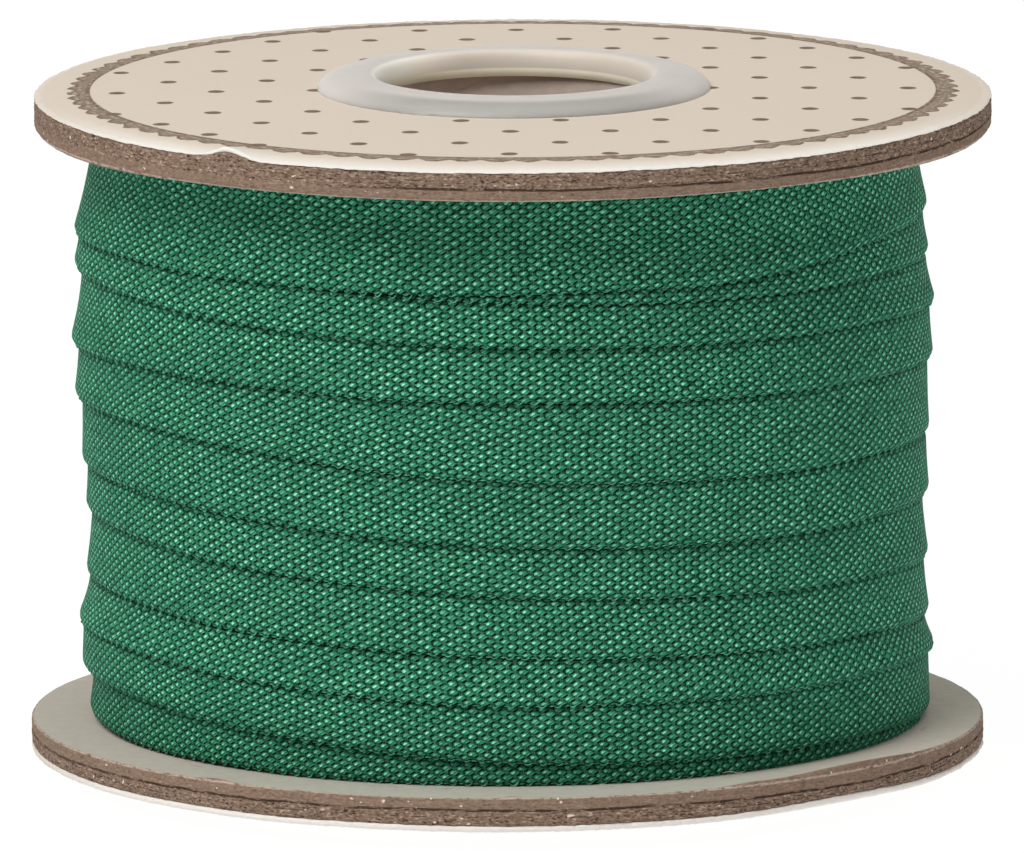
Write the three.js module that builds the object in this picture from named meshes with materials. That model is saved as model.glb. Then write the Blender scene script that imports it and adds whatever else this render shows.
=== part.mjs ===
// A spool of narrow woven ribbon, standing on its end.
// Two board flanges with paper labels sit on a cardboard tube. A plastic ring goes round each end of its hole.
// The ribbon is wound on as one helix, and each turn laps over the turn below it.
// Millimetres, +Z up. The origin is under the middle of the lower ring, where the spool stands.

import * as THREE from "three";

// Driving dimensions of the spool
const flangeRadius = 32;
const boardThickness = 1.8;
const labelThickness = 0.25;
const spaceBetweenBoards = 39.6;
const tubeInnerRadius = 9.6;
const tubeOuterRadius = 10.5;
const clearance = 0.3;
const boardHoleRadius = tubeOuterRadius + clearance;

// Driving dimensions of the plastic rings
const ringHeight = 1.6;
const ringOuterRadius = 13.15;
const ringLipRadius = 9.3;
const ringWidestHeight = 0.45;

// Steps round the circle
const discSteps = 72;
const ringSteps = 48;
const windingSteps = 72;

// Levels, upwards from the surface that the spool stands on
const lowerLabel = ringHeight;
const lowerBoard = lowerLabel + labelThickness;
const lowerInside = lowerBoard + boardThickness;
const upperInside = lowerInside + spaceBetweenBoards;
const upperLabel = upperInside + boardThickness;
const upperFace = upperLabel + labelThickness;

// The turns of ribbon that show, from the top down.
// The first five columns are the height of the turn's lower edge above the lower label, at five places
// seen from the front. The others are the radius of that edge, and of the cloth just below it.
const turnColumns = [
  "left", "leftFront", "front", "rightFront", "right",
  "edgeLeft", "edgeRight", "belowLeft", "belowRight",
];
const turns = [
  [34.85, 34.9, 35.0, 36.0, 36.75, 29.05, 28.25, 28.7, 28.0],
  [35.6, 35.3, 34.5, 33.9, 33.6, 28.9, 28.3, 28.7, 28.15],
  [32.6, 32.1, 31.45, 30.65, 29.9, 28.95, 28.65, 28.65, 28.4],
  [27.4, 27.9, 28.0, 27.25, 26.6, 29.15, 28.5, 28.8, 28.2],
  [23.8, 23.75, 22.75, 21.9, 21.5, 28.85, 28.3, 28.5, 28.1],
  [19.6, 19.1, 18.35, 17.8, 17.6, 28.4, 28.3, 28.15, 27.95],
  [16.7, 15.9, 14.9, 13.95, 13.2, 28.25, 28.3, 27.9, 27.9],
  [12.4, 11.6, 10.9, 10.15, 9.4, 28.25, 28.3, 28.0, 28.05],
  [8.8, 8.35, 7.75, 7.3, 7.1, 28.6, 28.55, 28.4, 28.2],
  [5.6, 5.0, 3.9, 3.0, 2.5, 28.5, 28.35, 27.95, 28.1],
  [2.0, 1.5, 1.0, 0.5, 0, 28.3, 28.3, 28.0, 28.0],
].map((row) => Object.fromEntries(turnColumns.map((name, index) => [name, row[index]])));

// The winding's radius at the boards, and how near two lower edges come before the upper one hides the other
const topRadius = 27.7;
const bottomRadius = 28.1;
const hiddenWithin = 0.3;

// The helix is read every eighth of a turn. The ribbon's end lies behind, a quarter turn before the left.
const markStep = 45;
const endAngle = 90;
const fullTurn = 360;

const materials = {
  board: { color: 0x8a7566, roughness: 0.95 },
  label: { color: 0xdccfbc, roughness: 0.8 },
  plastic: { color: 0xd6d2ca, roughness: 0.4 },
  tube: { color: 0x7d6c60, roughness: 0.95 },
  ribbon: { color: 0x2f7d5a, roughness: 0.75 },
};

function piece(name, geometry, material) {
  const settings = { ...materials[material], metalness: 0 };
  const mesh = new THREE.Mesh(geometry, new THREE.MeshStandardMaterial(settings));
  mesh.name = name;
  return mesh;
}

// A solid of revolution round Z from a closed profile of [radius, height] points
function turned(profile, steps) {
  const closed = [...profile, profile[0]].map(([radius, height]) => new THREE.Vector2(radius, height));
  return new THREE.LatheGeometry(closed, steps).rotateX(Math.PI / 2);
}

function disc(bottom, top) {
  return turned(
    [
      [boardHoleRadius, bottom],
      [flangeRadius, bottom],
      [flangeRadius, top],
      [boardHoleRadius, top],
    ],
    discSteps,
  );
}

function tube() {
  return turned(
    [
      [tubeInnerRadius, lowerLabel],
      [tubeOuterRadius, lowerLabel],
      [tubeOuterRadius, upperFace],
      [tubeInnerRadius, upperFace],
    ],
    ringSteps,
  );
}

// The ring is low and rounded, with a flat crown that the spool can stand on
function plasticRing() {
  return turned(
    [
      [tubeInnerRadius, 0],
      [ringOuterRadius - 0.4, 0],
      [ringOuterRadius, ringWidestHeight],
      [ringOuterRadius - 0.25, ringHeight * 0.65],
      [ringOuterRadius - 0.9, ringHeight * 0.9],
      [ringOuterRadius - 1.8, ringHeight],
      [ringLipRadius + 0.55, ringHeight],
      [ringLipRadius + 0.1, ringHeight * 0.85],
      [ringLipRadius, ringHeight * 0.55],
    ],
    ringSteps,
  );
}

// The helix as marks an eighth of a turn apart.
// Behind, they run evenly from one turn's right to the next turn's left.
function helixMarks() {
  const first = { height: turns[0].left, edge: turns[0].edgeLeft, below: turns[0].belowLeft };
  const marks = [first, first];
  turns.forEach((turn, index) => {
    const next = turns[index + 1] ?? turn;
    ["left", "leftFront", "front", "rightFront", "right"].forEach((place, step) => {
      marks.push({
        height: turn[place],
        edge: THREE.MathUtils.lerp(turn.edgeLeft, turn.edgeRight, step / 4),
        below: THREE.MathUtils.lerp(turn.belowLeft, turn.belowRight, step / 4),
      });
    });
    [1, 2, 3].forEach((step) => {
      marks.push({
        height: THREE.MathUtils.lerp(turn.right, next.left, step / 4),
        edge: THREE.MathUtils.lerp(turn.edgeRight, next.edgeLeft, step / 4),
        below: THREE.MathUtils.lerp(turn.belowRight, next.belowLeft, step / 4),
      });
    });
  });
  return marks;
}

// One measure of the helix as a smooth curve over the marks, read by the angle along the helix
function smoothAlong(marks, measure) {
  const curve = new THREE.SplineCurve(marks.map((mark, index) => new THREE.Vector2(index, mark[measure])));
  return (angle) => curve.getPoint((angle - endAngle) / markStep / (marks.length - 1)).y;
}

// The winding's section at one angle: down the outer face, then back up the inner face to where it began.
// Each point has its place along the helix as its order, so that like points of two sections can be joined.
function windingSection(angle, helix) {
  const bottom = lowerInside + clearance;
  const top = upperInside - clearance;
  const inner = tubeOuterRadius + clearance;
  const last = endAngle + turns.length * fullTurn;
  const section = [
    { radius: inner, height: top, order: -2 },
    { radius: topRadius, height: top, order: -1 },
  ];
  let above = top;
  const first = angle < endAngle ? angle + fullTurn : angle;
  for (let along = first; along < last; along += fullTurn) {
    const height = lowerLabel + helix.height(along);
    if (height > bottom + hiddenWithin && height < above - hiddenWithin) {
      section.push({ radius: helix.edge(along), height, order: along });
      section.push({ radius: helix.below(along), height, order: along + markStep / 2 });
      above = height;
    }
  }
  section.push({ radius: bottomRadius, height: bottom, order: last + 1 });
  section.push({ radius: inner, height: bottom, order: last + 2 });
  section.push({ radius: inner, height: top, order: last + 3 });
  return section.map((point) => ({ ...point, angle: THREE.MathUtils.degToRad(angle) }));
}

// Triangles between two neighbouring sections, walked side by side in the order along the helix
function joinSections(near, far, triangles) {
  let i = 0;
  let j = 0;
  while (i < near.length - 1 || j < far.length - 1) {
    const nearOrder = near[i + 1]?.order ?? Infinity;
    const farOrder = far[j + 1]?.order ?? Infinity;
    if (nearOrder <= farOrder) {
      triangles.push(near[i], near[i + 1], far[j]);
      i += 1;
    } else {
      triangles.push(near[i], far[j + 1], far[j]);
      j += 1;
    }
  }
}

function winding() {
  const marks = helixMarks();
  const helix = {
    height: smoothAlong(marks, "height"),
    edge: smoothAlong(marks, "edge"),
    below: smoothAlong(marks, "below"),
  };
  const sections = Array.from({ length: windingSteps }, (_, step) =>
    windingSection((step * fullTurn) / windingSteps, helix),
  );
  const triangles = [];
  sections.forEach((section, step) => {
    joinSections(section, sections[(step + 1) % windingSteps], triangles);
  });
  const positions = triangles.flatMap(({ radius, height, angle }) => [
    radius * Math.cos(angle),
    radius * Math.sin(angle),
    height,
  ]);
  const geometry = new THREE.BufferGeometry();
  geometry.setAttribute("position", new THREE.Float32BufferAttribute(positions, 3));
  geometry.computeVertexNormals();
  return geometry;
}

const spool = new THREE.Group();
spool.add(piece("flange_bottom", disc(lowerBoard, lowerInside), "board"));
spool.add(piece("flange_top", disc(upperInside, upperLabel), "board"));
spool.add(piece("label_bottom", disc(lowerLabel, lowerBoard), "label"));
spool.add(piece("label_top", disc(upperLabel, upperFace), "label"));
spool.add(piece("core_tube", tube(), "tube"));
spool.add(piece("ribbon_winding", winding(), "ribbon"));

const topRing = piece("grommet_top", plasticRing(), "plastic");
topRing.position.z = upperFace;
spool.add(topRing);

const bottomRing = piece("grommet_bottom", plasticRing(), "plastic");
bottomRing.rotation.x = Math.PI;
bottomRing.position.z = lowerLabel;
spool.add(bottomRing);

export default spool;
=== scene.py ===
"""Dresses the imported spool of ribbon: wound cloth, board, printed paper and plastic rings.

Laid out as a Blender add-on and run as a script. Lengths are in metres, and angles go round the spool's axis
counter-clockwise from +X, so that the front is at 270 degrees.
"""

import math
import random

import bpy
from mathutils import Matrix, Vector, noise


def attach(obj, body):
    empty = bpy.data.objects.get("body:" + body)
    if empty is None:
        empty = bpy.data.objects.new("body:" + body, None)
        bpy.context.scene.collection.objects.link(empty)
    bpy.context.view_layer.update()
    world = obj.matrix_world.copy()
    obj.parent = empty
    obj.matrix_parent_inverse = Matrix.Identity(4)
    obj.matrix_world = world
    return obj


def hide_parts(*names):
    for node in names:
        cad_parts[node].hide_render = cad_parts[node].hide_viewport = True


bl_info = {
    "name": "Spool of ribbon",
    "version": (1, 0, 0),
    "blender": (4, 5, 0),
    "location": "3D View > Sidebar > Spool",
    "description": "Winds a spool of woven ribbon and finishes its board, paper and rings",
    "category": "Object",
}

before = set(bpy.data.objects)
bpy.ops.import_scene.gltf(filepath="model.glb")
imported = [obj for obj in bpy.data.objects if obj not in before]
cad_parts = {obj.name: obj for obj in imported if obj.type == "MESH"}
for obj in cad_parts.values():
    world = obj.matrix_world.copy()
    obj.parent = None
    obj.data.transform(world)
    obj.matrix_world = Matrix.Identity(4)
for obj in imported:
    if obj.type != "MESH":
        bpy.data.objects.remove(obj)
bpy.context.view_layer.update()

MM = 0.001
TURN = 360

# Sizes and colours that a user would change


def length(name, description, millimetres):
    return bpy.props.FloatProperty(
        name=name, description=description, default=millimetres * MM, unit="LENGTH", precision=5
    )


def amount(name, description, default):
    return bpy.props.FloatProperty(name=name, description=description, default=default)


def colour(name, description, red, green, blue):
    return bpy.props.FloatVectorProperty(
        name=name, description=description, default=(red, green, blue), subtype="COLOR", size=3, min=0, max=1
    )


class SpoolRibbonLook(bpy.types.PropertyGroup):
    """Sizes and colours of the ribbon"""

    width: length("Width", "Width of the ribbon", 7)
    thickness: length("Thickness", "Thickness of the ribbon", 0.28)
    warp_pitch: length("Warp pitch", "From one yarn that runs along the ribbon to the next", 0.2885)
    weft_pitch: length("Weft pitch", "From one yarn that runs across the ribbon to the next", 0.51)
    warp: colour("Warp", "Yarns that run along the ribbon", 0.030, 0.262, 0.140)
    # warp_highlight is a painted highlight colour: the brightest strands of the floats, as if lit
    warp_highlight: colour("Warp crowns", "Crowns of the twisted strands", 0.370, 1.000, 0.640)
    weft: colour("Weft", "Yarns that run across the ribbon", 0.052, 0.240, 0.138)
    # The gap colour is painted shade, the dark inside the holes between the yarns; the edge loops and the
    # hidden turns also use it as a dark yarn tone
    gap: colour("Gaps", "Holes between the yarns", 0.000, 0.006, 0.003)
    edge: colour("Edge loops", "Small loops along the ribbon's edge", 0.21, 0.74, 0.48)
    veil: colour("Veil", "Fine fibres that stand off the cloth", 0.012, 0.14, 0.075)


class SpoolBoardLook(bpy.types.PropertyGroup):
    """Sizes and colours of the board flanges"""

    radius: length("Radius", "Radius of a flange", 32)
    edge: colour("Cut edge", "Cut edge of the board", 0.370, 0.258, 0.190)
    edge_dark: colour("Dark fibres", "Dark fibres and gaps in the cut edge", 0.045, 0.024, 0.014)
    edge_light: colour("Pale fibres", "Pale fibres in the cut edge", 0.74, 0.62, 0.52)
    face: colour("Face", "Grey lining of the inner faces", 0.480, 0.462, 0.400)


class SpoolPaperLook(bpy.types.PropertyGroup):
    """Sizes and colours of the printed paper"""

    dot_radius: length("Dot radius", "Radius of a printed dot", 0.56)
    ring_inner: length("Ring inside", "Inner radius of the printed ring", 28.28)
    ring_outer: length("Ring outside", "Mean outer radius of the ring's teeth", 29.65)
    paper: colour("Paper", "Cream face of the paper", 0.670, 0.585, 0.490)
    torn: colour("Torn edge", "White torn edge of the paper", 0.84, 0.80, 0.74)
    ink: colour("Ink", "Brown print", 0.16, 0.105, 0.065)


class SpoolPlasticLook(bpy.types.PropertyGroup):
    """Colours of the rings and of the tube"""

    plastic: colour("Plastic", "Waxy plastic of the rings", 0.62, 0.585, 0.545)
    # side is painted shade: the outer side of the rings, darker in front
    side: colour("Side", "Cooler outer side of the rings", 0.385, 0.375, 0.350)
    sleeve: colour("Sleeve", "Paper that lines the top of the hole", 1.00, 0.88, 0.71)
    tube: colour("Tube", "Inside of the cardboard tube", 0.50, 0.41, 0.355)


class SpoolStageLook(bpy.types.PropertyGroup):
    """Light and camera"""

    key_power: amount("Key light", "Power of the key light", 9.0)
    sky: amount("Sky", "Brightness of the room's walls", 0.18)
    ceiling: amount("Ceiling", "Brightness of the room overhead", 1.05)
    floor: amount("Floor", "Brightness of the pale floor", 0.96)
    focal_length: amount("Focal length", "The camera's focal length in millimetres", 624.2)


class Wire:
    """A socket of a node tree. Arithmetic on it adds Math nodes to the tree."""

    def __init__(self, tree, socket=None):
        self.tree = tree
        self.socket = socket

    def node(self, kind, settings=None, inputs=None, output=0):
        """Adds a node of any kind: its settings first, then the values or links of its sockets."""
        node = self.tree.nodes.new(kind)
        for name, value in (settings or {}).items():
            setattr(node, name, value)
        for key, value in (inputs or {}).items():
            socket = node.inputs[key]
            if isinstance(value, Wire):
                self.tree.links.new(value.socket, socket)
            elif socket.type == "RGBA":
                socket.default_value = (*value[:3], 1)
            else:
                socket.default_value = value
        return Wire(self.tree, node.outputs[output]) if node.outputs else None

    def out(self, name):
        """Another output of the same node."""
        return Wire(self.tree, self.socket.node.outputs[name])

    def math(self, operation, *values):
        return self.node("ShaderNodeMath", {"operation": operation}, dict(enumerate(values)))

    def __add__(self, other):
        return self.math("ADD", self, other)

    def __sub__(self, other):
        return self.math("SUBTRACT", self, other)

    def __rsub__(self, other):
        return self.math("SUBTRACT", other, self)

    def __mul__(self, other):
        return self.math("MULTIPLY", self, other)

    def __truediv__(self, other):
        return self.math("DIVIDE", self, other)

    def __pow__(self, other):
        return self.math("POWER", self, other)

    def __abs__(self):
        return self.math("ABSOLUTE", self)

    __radd__ = __add__
    __rmul__ = __mul__

    def least(self, other):
        return self.math("MINIMUM", self, other)

    def most(self, other):
        return self.math("MAXIMUM", self, other)

    def limited(self):
        return self.node("ShaderNodeClamp", None, {"Value": self})

    def rounded(self):
        return self.math("ROUND", self)

    def rise(self, low, high):
        """0 below low, 1 above high, and smooth between them. A high under the low makes it fall."""
        falls = not isinstance(low, Wire) and not isinstance(high, Wire) and low >= high
        start, end = (high, low) if falls else (low, high)
        ends = (1, 0) if falls else (0, 1)
        inputs = {"Value": self, "From Min": start, "From Max": end, "To Min": ends[0], "To Max": ends[1]}
        return self.node("ShaderNodeMapRange", {"interpolation_type": "SMOOTHSTEP"}, inputs)

    def blend(self, first, second):
        """first where this is 0 and second where it is 1, for numbers."""
        return self.node("ShaderNodeMix", {"data_type": "FLOAT"}, {0: self, 2: first, 3: second})

    def tint(self, first, second):
        """The colour first where this is 0 and second where it is 1."""
        return self.node("ShaderNodeMix", {"data_type": "RGBA"}, {0: self, 6: first, 7: second}, 2)

    def joined(self, x, y, z=0.0):
        return self.node("ShaderNodeCombineXYZ", None, {0: x, 1: y, 2: z})

    def parts(self):
        split = self.node("ShaderNodeSeparateXYZ", None, {0: self})
        return split, split.out("Y"), split.out("Z")

    def scaled(self, x, y, z=1.0):
        return self.node("ShaderNodeVectorMath", {"operation": "MULTIPLY"}, {0: self, 1: (x, y, z)})

    def spot(self):
        """The place on the object."""
        return self.node("ShaderNodeTexCoord", None, None, "Object")

    def noise(self, scale, detail=2.0, roughness=0.5):
        inputs = {"Vector": self, "Scale": scale, "Detail": detail, "Roughness": roughness}
        return self.node("ShaderNodeTexNoise", None, inputs)


def shades(colour_value, dark, light):
    """A darker and a lighter shade of a colour."""
    return tuple(c * dark for c in colour_value), tuple(c * light for c in colour_value)


def new_material(name, constants):
    """A material with a Principled shader. Constants are set straight on the shader's sockets."""
    material = bpy.data.materials.new(name)
    material.use_nodes = True
    tree = material.node_tree
    tree.nodes.clear()
    shader = Wire(tree).node("ShaderNodeBsdfPrincipled", None, constants)
    Wire(tree).node("ShaderNodeOutputMaterial", None, {"Surface": shader})
    return material, Wire(tree), shader.socket.node


def finish_material(wire, shader, base, roughness=None, height=None, depth=0.0):
    """Links what changes over the surface: its colour, its roughness and its relief, depth deep."""
    tree = wire.tree
    tree.links.new(base.socket, shader.inputs["Base Color"])
    if roughness is not None:
        tree.links.new(roughness.socket, shader.inputs["Roughness"])
    if height is not None:
        bump = wire.node("ShaderNodeBump", None, {"Strength": 1.0, "Distance": depth, "Height": height})
        tree.links.new(bump.socket, shader.inputs["Normal"])


def rough(seed, *place):
    """Smooth noise from -1 to 1."""
    return noise.noise(Vector((*place, 0, 0)[:3]) + Vector((seed, seed * 0.37, seed * 0.71)))


def rough_round(seed, angle, scale, height=0.0):
    """Smooth noise round the spool. A larger scale makes it finer."""
    turn = math.radians(angle)
    return rough(seed, scale * math.cos(turn), scale * math.sin(turn), height)


def hill(angle, centre, spread):
    """A bump round the spool, 1 at its centre, with its spread in degrees."""
    away = (angle - centre + TURN / 2) % TURN - TURN / 2
    return math.exp(-((away / spread) ** 2) / 2)


def new_object(name, mesh, material=None):
    thing = bpy.data.objects.new(name, mesh)
    bpy.context.scene.collection.objects.link(thing)
    if material is not None:
        mesh.materials.clear()
        mesh.materials.append(material)
    return thing


def turned(name, section, columns, material):
    """A closed ring round the axis. section(angle) gives its points of (radius, height), outside first."""
    rings = []
    for column in range(columns):
        angle = TURN * column / columns
        turn = math.radians(angle)
        rings.append([(r * math.cos(turn), r * math.sin(turn), z) for r, z in section(angle)])
    count = len(rings[0])
    vertices = [point for ring in rings for point in ring]
    faces = []
    for column in range(columns):
        near = column * count
        far = (column + 1) % columns * count
        for row in range(count):
            after = (row + 1) % count
            faces.append((near + row, far + row, far + after, near + after))
    return closed_object(name, vertices, faces, material)


def closed_object(name, vertices, faces, material):
    """A smooth closed mesh whose faces point outwards."""
    mesh = bpy.data.meshes.new(name)
    mesh.from_pydata(vertices, [], faces)
    if signed_volume(mesh) < 0:
        mesh.flip_normals()
    mesh.shade_smooth()
    mesh.update()
    return new_object(name, mesh, material)


def signed_volume(mesh):
    total = 0.0
    mesh.calc_loop_triangles()
    for triangle in mesh.loop_triangles:
        a, b, c = (mesh.vertices[index].co for index in triangle.vertices)
        total += a.dot(b.cross(c))
    return total


def tubes(name, paths, radius, sides, material):
    """Thin closed tubes along lists of points, tapered at their ends."""
    vertices, faces = [], []
    for path in paths:
        start = len(vertices)
        for index, point in enumerate(path):
            before = path[max(index - 1, 0)]
            after = path[min(index + 1, len(path) - 1)]
            ahead = (after - before).normalized()
            out = Vector((0, 0, 1)) if abs(ahead.z) < 0.9 else Vector((1, 0, 0))
            first = ahead.cross(out).normalized()
            second = ahead.cross(first)
            slim = radius * (0.45 if index in (0, len(path) - 1) else 1)
            for side in range(sides):
                turn = 2 * math.pi * side / sides
                vertices.append(point + slim * (math.cos(turn) * first + math.sin(turn) * second))
        for index in range(len(path) - 1):
            for side in range(sides):
                a = start + index * sides + side
                b = start + index * sides + (side + 1) % sides
                faces.append((a, b, b + sides, a + sides))
        faces.append(tuple(start + side for side in reversed(range(sides))))
        faces.append(tuple(start + (len(path) - 1) * sides + side for side in range(sides)))
    return closed_object(name, vertices, faces, material)


def place(piece, slot, *nodes):
    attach(piece, "root")
    if nodes:
        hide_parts(*nodes)


# Levels of the boards, seen from the front. Heights are above the surface that the spool stands on.

LOWER_RIM = 1.57 * MM
LOWER_BOARD = 1.99 * MM
LOWER_FACE = 3.88 * MM
UPPER_FACE = 43.54 * MM
UPPER_BOARD = 45.39 * MM
UPPER_RIM = 45.46 * MM
UPPER_MIDDLE = 45.87 * MM
RING_SEAT = 45.3 * MM
RING_HEIGHT = 1.6 * MM

# Radii of the boards, the papers and the tube
FLANGE_RADIUS = 32 * MM
BOARD_HOLE = 10.8 * MM
PAPER_RADIUS = 31.97 * MM
PAPER_HOLE = 9.8 * MM
PAPER_THICKNESS = 0.12 * MM
TUBE_INNER = 9.6 * MM
TUBE_OUTER = 10.5 * MM

# Steps round the circle
RIM_COLUMNS = 960
RING_COLUMNS = 256
TUBE_COLUMNS = 144
INNER_TURNS_COLUMNS = 120

# The printed paper is domed and leans back by a hair, and its rim is rolled down
DOME = 0.16 * MM
DOME_RADIUS = 28.3 * MM
LEAN = 0.138 * MM
ROLL_START = 28.6 * MM

# The upper flange and its ring sit a little to the right of the tube
UPPER_SHIFT = 0.48 * MM
RING_SHIFT = 0.56 * MM

# Where the board is lifted: angle, spread in degrees and height
BURR = (235, 2.0, 0.50 * MM)
LOWER_LIFTS = ((316, 9.5, 0.52 * MM), (233, 1.6, 0.16 * MM), (270.5, 1.0, 0.12 * MM), (300, 2.0, 0.10 * MM))
LOWER_UNDER_LIFTS = ((314, 9.0, 0.30 * MM),)
UPPER_UNDER_LIFTS = ((205, 14, -0.16 * MM), (335, 14, -0.16 * MM))

# How far the lower flange leans back, at its sides
LOWER_TILT = 0.58 * MM


def lifts(angle, hills):
    return sum(height * hill(angle, centre, spread) for centre, spread, height in hills)


def upper_sag(angle):
    """The paper's rim and the board under it are a little lower behind."""
    return 0.20 * MM * max(0.0, math.sin(math.radians(angle)))


def upper_top(angle):
    """Top of the upper board's cut edge."""
    wave = 0.05 * rough_round(3, angle, 2.2)
    fine = 0.03 * rough_round(4, angle, 14)
    return UPPER_BOARD + (wave + fine) * MM + lifts(angle, (BURR,)) - upper_sag(angle)


def upper_rim(angle):
    """Height of the rolled rim of the upper paper."""
    return UPPER_RIM + (upper_top(angle) - UPPER_BOARD) + 0.5 * lifts(angle, (BURR,))


def upper_paper(radius, angle):
    """Height of the upper paper inside its rim."""
    back = radius * math.sin(math.radians(angle))
    return UPPER_MIDDLE - DOME * (radius / DOME_RADIUS) ** 2 - LEAN * back / DOME_RADIUS


def upper_bottom(angle):
    wave = 0.06 * rough_round(5, angle, 2)
    return UPPER_FACE + wave * MM + lifts(angle, UPPER_UNDER_LIFTS)


def lower_sag(angle, share=1.0):
    """How much lower the lower flange is at an angle, at a share of its radius. It leans back."""
    return LOWER_TILT * (1 + share * math.sin(math.radians(angle)))


def lower_top(angle):
    wave = 0.05 * rough_round(6, angle, 2)
    return LOWER_FACE + wave * MM + lifts(angle, LOWER_LIFTS) - lower_sag(angle)


def lower_bottom(angle):
    wave = 0.05 * rough_round(7, angle, 3)
    return LOWER_BOARD + wave * MM + lifts(angle, LOWER_UNDER_LIFTS) - lower_sag(angle) * 0.62


def lower_rim(angle):
    """Height of the rim of the lower paper."""
    return LOWER_RIM + (lower_bottom(angle) - LOWER_BOARD + lower_sag(angle)) * 0.9 - lower_sag(angle)


def lower_paper(radius, angle):
    return LOWER_RIM - 0.1 * MM * (1 - (radius / DOME_RADIUS) ** 2) - lower_sag(angle, radius / FLANGE_RADIUS)


def foot(angle):
    """Where the winding meets the lower board. Its last edge stands off the board at the front left."""
    return LOWER_FACE + 0.02 * MM - lower_sag(angle) + 0.10 * MM * hill(angle, 222, 11)


KEY_PLACE = (-0.48, -0.52, 0.92)
KEY_SIZE = 0.75
KEY_TINT = (1, 0.985, 0.96)
SPOOL_MIDDLE = (0, 0, 0.024)


def aim(thing, target):
    direction = Vector(target) - thing.location
    thing.rotation_euler = direction.to_track_quat("-Z", "Y").to_euler()


def add_light(name, location, target, size, power, tint):
    lamp = bpy.data.lights.new(name, "AREA")
    lamp.shape = "DISK"
    lamp.size = size
    lamp.energy = power
    lamp.color = tint
    thing = bpy.data.objects.new(name, lamp)
    thing.location = location
    bpy.context.scene.collection.objects.link(thing)
    aim(thing, target)


def add_camera(focal_length):
    """The camera stands in front and about ten degrees up, and leans by a hair."""
    elevation = 0.1826
    roll = -0.0031
    distance = 1191.65 * MM
    target = Vector((0, 0, 22.757 * MM))
    back = Vector((0, -math.cos(elevation), math.sin(elevation)))
    right = Vector((1, 0, 0))
    up = back.cross(right)
    lean_right = math.cos(roll) * right + math.sin(roll) * up
    lean_up = -math.sin(roll) * right + math.cos(roll) * up
    data = bpy.data.cameras.new("camera")
    data.sensor_width = 36
    data.lens = focal_length
    data.shift_x = 0.00526
    data.clip_start = 0.05
    data.clip_end = 20
    camera = bpy.data.objects.new("camera", data)
    camera.matrix_world = Matrix.Translation(target + back * distance) @ Matrix(
        (lean_right, lean_up, back)
    ).transposed().to_4x4()
    bpy.context.scene.collection.objects.link(camera)
    bpy.context.scene.camera = camera


def add_world(sky, ceiling):
    """White at the horizon, dimmer above it, and bright overhead, like a pale studio."""
    world = bpy.data.worlds.new("room")
    world.use_nodes = True
    tree = world.node_tree
    tree.nodes.clear()
    wire = Wire(tree)
    height = wire.node("ShaderNodeTexCoord", None, None, "Generated").parts()[2]
    glow = height.rise(0.62, 0.92).blend(height.rise(0.02, 0.30).blend(1.0, sky), ceiling)
    background = wire.node("ShaderNodeBackground", None, {"Color": (1, 1, 1), "Strength": glow})
    wire.node("ShaderNodeOutputWorld", None, {"Surface": background})
    bpy.context.scene.world = world


def add_floor(glow):
    """A wide pale floor that takes only a faint shadow."""
    material = bpy.data.materials.new("pale_floor")
    material.use_nodes = True
    tree = material.node_tree
    tree.nodes.clear()
    wire = Wire(tree)
    shine = wire.node("ShaderNodeEmission", None, {"Color": (1, 1, 1), "Strength": glow})
    matte = wire.node("ShaderNodeBsdfDiffuse", None, {"Color": (0.07, 0.07, 0.07)})
    both = wire.node("ShaderNodeAddShader", None, {0: shine, 1: matte})
    wire.node("ShaderNodeOutputMaterial", None, {"Surface": both})
    half = 4.0
    mesh = bpy.data.meshes.new("floor")
    corners = [(-half, -half, 0), (half, -half, 0), (half, half, 0), (-half, half, 0)]
    mesh.from_pydata(corners, [], [(0, 1, 2, 3)])
    new_object("floor", mesh, material)


class SPOOL_OT_stage(bpy.types.Operator):
    """Sets the floor, the light and the camera"""

    bl_idname = "spool.stage"
    bl_label = "Stage"

    def execute(self, context):
        look = context.scene.spool_stage
        add_camera(look.focal_length)
        add_world(look.sky, look.ceiling)
        add_floor(look.floor)
        add_light("key", KEY_PLACE, SPOOL_MIDDLE, KEY_SIZE, look.key_power, KEY_TINT)
        context.scene.view_settings.view_transform = "Standard"
        return {"FINISHED"}


# The turns that show, from the top down, in millimetres.
# The first five columns are the height of its lower edge over the lower label, at five places from the front.
# The others are the radius of that edge at the left and right, and of the cloth just below it.
TURNS = (
    (34.50, 34.95, 35.05, 35.65, 36.15, 29.08, 28.30, 28.60, 27.90),
    (34.95, 35.30, 34.50, 33.85, 33.05, 29.00, 28.40, 28.60, 28.10),
    (32.35, 32.25, 31.60, 31.00, 29.65, 29.05, 28.85, 28.42, 28.35),
    (27.10, 28.10, 27.95, 27.25, 25.95, 29.28, 28.65, 28.68, 28.20),
    (23.50, 23.90, 22.65, 21.85, 20.90, 29.02, 28.38, 28.45, 28.15),
    (19.00, 19.15, 18.20, 17.60, 16.80, 28.50, 28.40, 28.12, 27.90),
    (15.90, 15.80, 14.87, 13.85, 12.40, 28.30, 28.38, 27.85, 28.00),
    (11.40, 11.45, 10.80, 10.00, 8.50, 28.30, 28.42, 28.00, 28.05),
    (8.15, 8.40, 7.65, 7.30, 6.20, 28.95, 28.90, 28.50, 28.30),
    (5.05, 5.05, 3.80, 3.15, 1.95, 28.60, 28.45, 27.80, 28.05),
    (2.00, 1.50, 1.00, 0.50, 0.00, 28.15, 28.25, 27.90, 28.00),
)
# Where a lower edge bends away from that: turn, angle, spread in degrees and height
BENDS = ((0, 304, 8, -0.38), (0, 240, 12, 0.10), (3, 258, 7, -0.10), (8, 288, 5, 0.12), (4, 250, 8, -0.12))
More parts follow.
